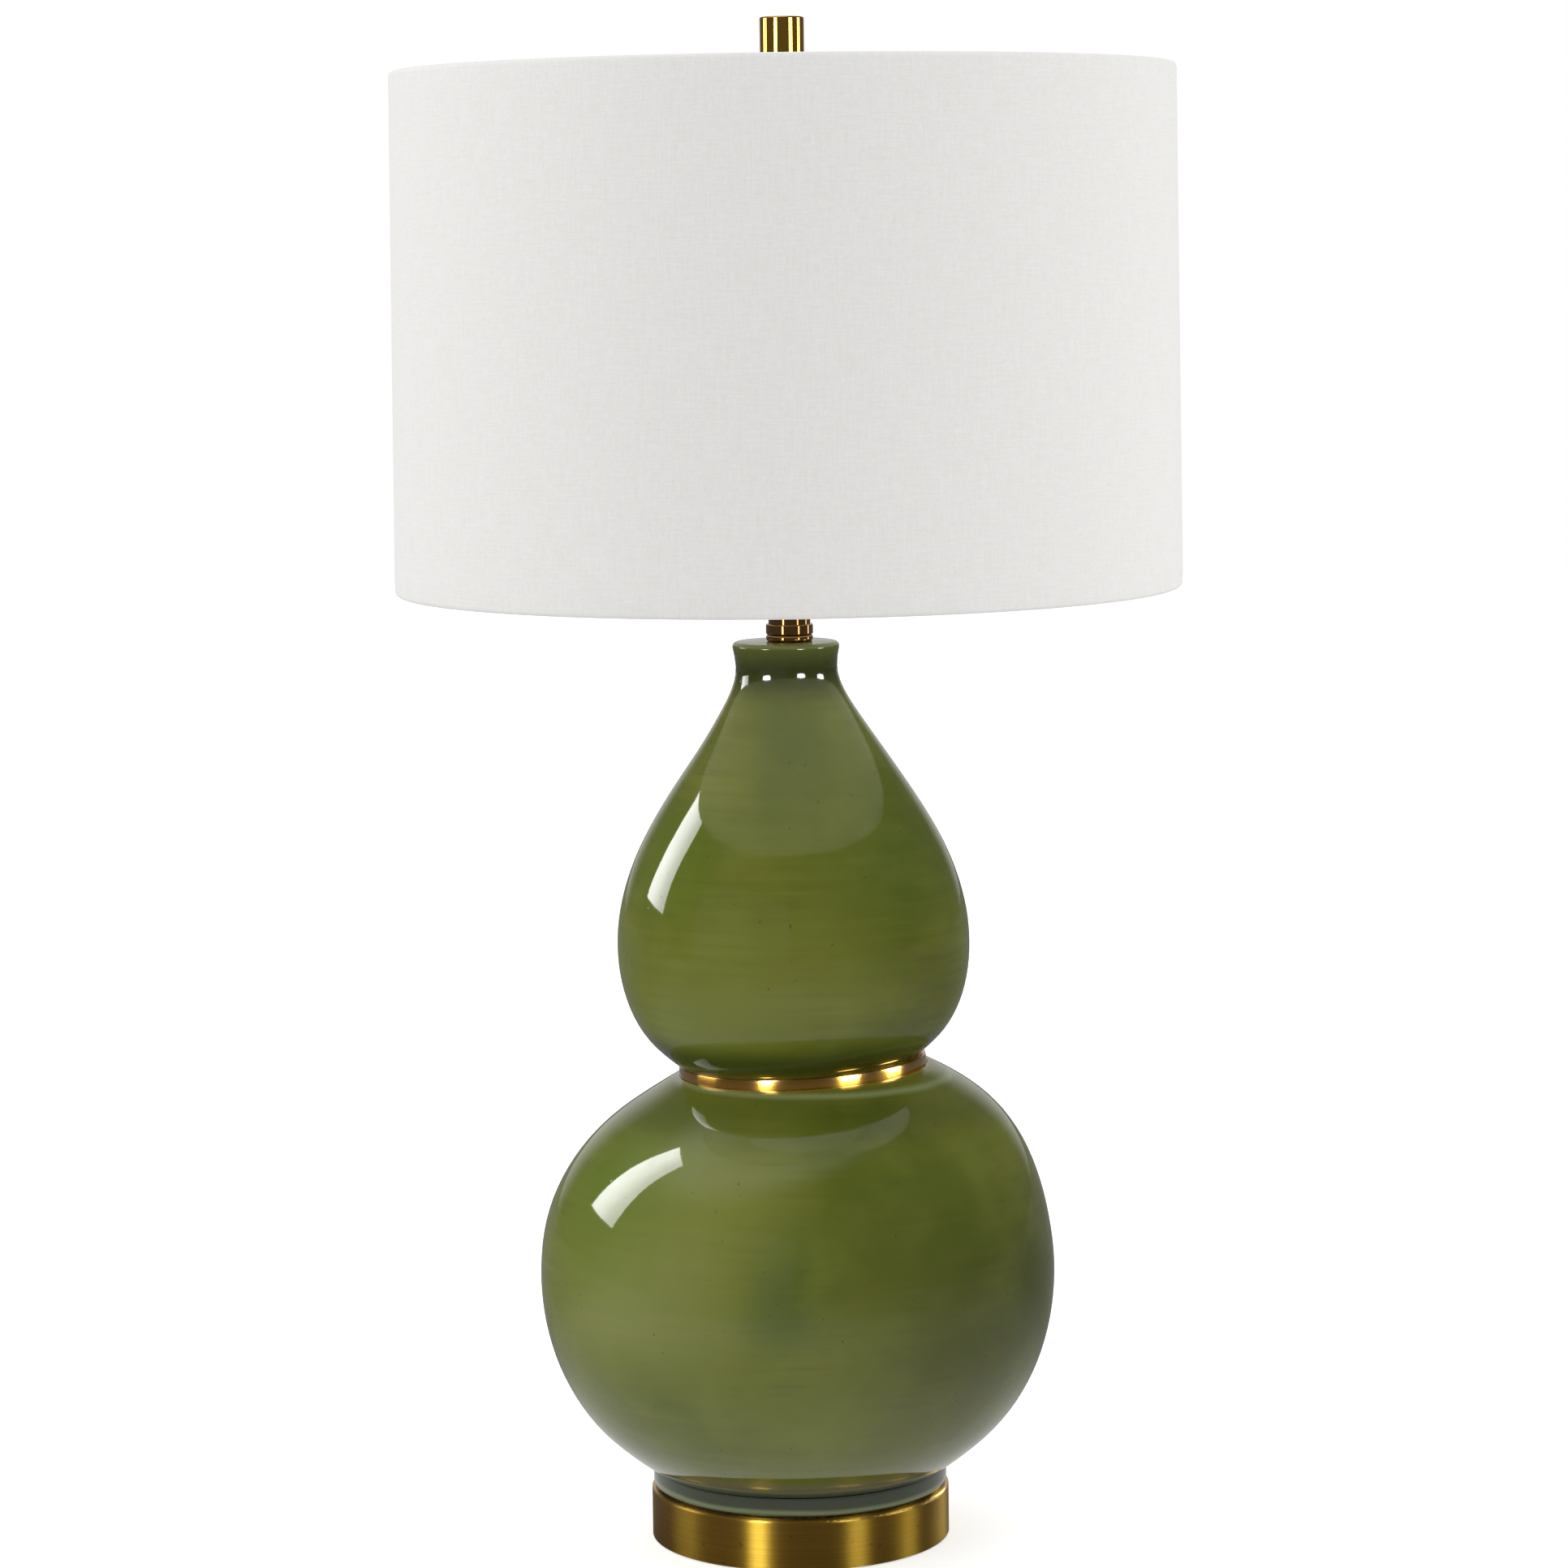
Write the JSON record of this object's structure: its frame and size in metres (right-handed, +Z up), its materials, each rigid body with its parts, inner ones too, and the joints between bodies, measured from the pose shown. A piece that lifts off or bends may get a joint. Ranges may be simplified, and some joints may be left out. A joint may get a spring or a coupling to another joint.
{
  "type": "table lamp",
  "caption": "Table lamp with a double gourd body of glazed ceramic, a brass base, waist band and finial, and a linen drum shade held by a harp.",
  "frame": {"origin": "centre of the underside of the base, on the lamp's axis", "axes": "+Z up along the lamp's axis, -Y towards the front with the switch, +Y towards the cord inlet, +X to the right as seen from the front"},
  "size_m": [0.4096, 0.4095, 0.7984],
  "materials": {
    "glaze": "glossy olive green glaze, mottled",
    "brushed_brass": "brushed, round the skirt",
    "polished_brass": "polished and lacquered",
    "contact_brass": "plain",
    "brass_plated_steel": "brass plated",
    "zinc_steel": "zinc plated",
    "iron": "as cast",
    "shell_aluminium": "drawn",
    "felt": "felt",
    "seal": "matt",
    "bushing": "moulded",
    "moulded_black": "moulded",
    "sleeve_card": "fibre",
    "white_wire": "white enamel on steel wire",
    "liner_white": "stiff styrene sheet, matt",
    "linen": "white linen weave"
  },
  "bodies": {
    "lamp_body": {"felt_pad": "felt", "base_cup": "brushed_brass", "base_weight": "iron", "cord_grommet": "bushing", "bottom_washer": "zinc_steel", "bottom_nut": "zinc_steel", "lamp_pipe": "zinc_steel", "foot_seal": "seal", "lower_gourd": "glaze", "lower_band_seal": "seal", "waist_band": "polished_brass", "upper_band_seal": "seal", "upper_gourd": "glaze", "neck_check_ring": "polished_brass", "neck_collar": "polished_brass", "neck_tube": "polished_brass", "harp_saddle": "brass_plated_steel", "saddle_nut": "zinc_steel", "socket_cap": "polished_brass", "cap_screw": "zinc_steel", "socket_shell": "polished_brass", "insulating_sleeve": "sleeve_card", "socket_body": "moulded_black", "terminal_screws": "zinc_steel", "screw_shell": "shell_aluminium", "centre_contact": "contact_brass", "harp_loop": "brass_plated_steel"},
    "switch": {"switch_shaft": "zinc_steel", "switch_knob": "moulded_black"},
    "sleeve_left": {"harp_sleeve_left": "brass_plated_steel"},
    "sleeve_right": {"harp_sleeve_right": "brass_plated_steel"},
    "swivel_stud": {"harp_stud": "polished_brass"},
    "shade": {"shade_spider": "white_wire", "shade_bottom_ring": "white_wire", "shade_liner": "liner_white", "shade_fabric": "linen"},
    "finial": {"finial": "polished_brass"}
  },
  "joints": [
    {"name": "shade_turn", "type": "hinge", "parent": "lamp_body", "child": "swivel_stud", "pos_m": [0, 0, 0.7538], "axis": [0, 0, 1], "continuous": true},
    {"name": "shade_lift", "type": "slide", "parent": "swivel_stud", "child": "shade", "axis": [0, 0, 1], "range_m": [0, 0.3]},
    {"name": "finial_spin", "type": "hinge", "parent": "shade", "child": "finial", "pos_m": [0, 0, 0.767], "axis": [0, 0, 1], "continuous": true},
    {"name": "switch_turn", "type": "hinge", "parent": "lamp_body", "child": "switch", "pos_m": [0, -0.0097, 0.5438], "axis": [0, -1, 0], "continuous": true},
    {"name": "sleeve_left_lift", "type": "slide", "parent": "lamp_body", "child": "sleeve_left", "axis": [0, 0, 1], "range_m": [0, 0.016]},
    {"name": "sleeve_right_lift", "type": "slide", "parent": "lamp_body", "child": "sleeve_right", "axis": [0, 0, 1], "range_m": [0, 0.016]}
  ]
}
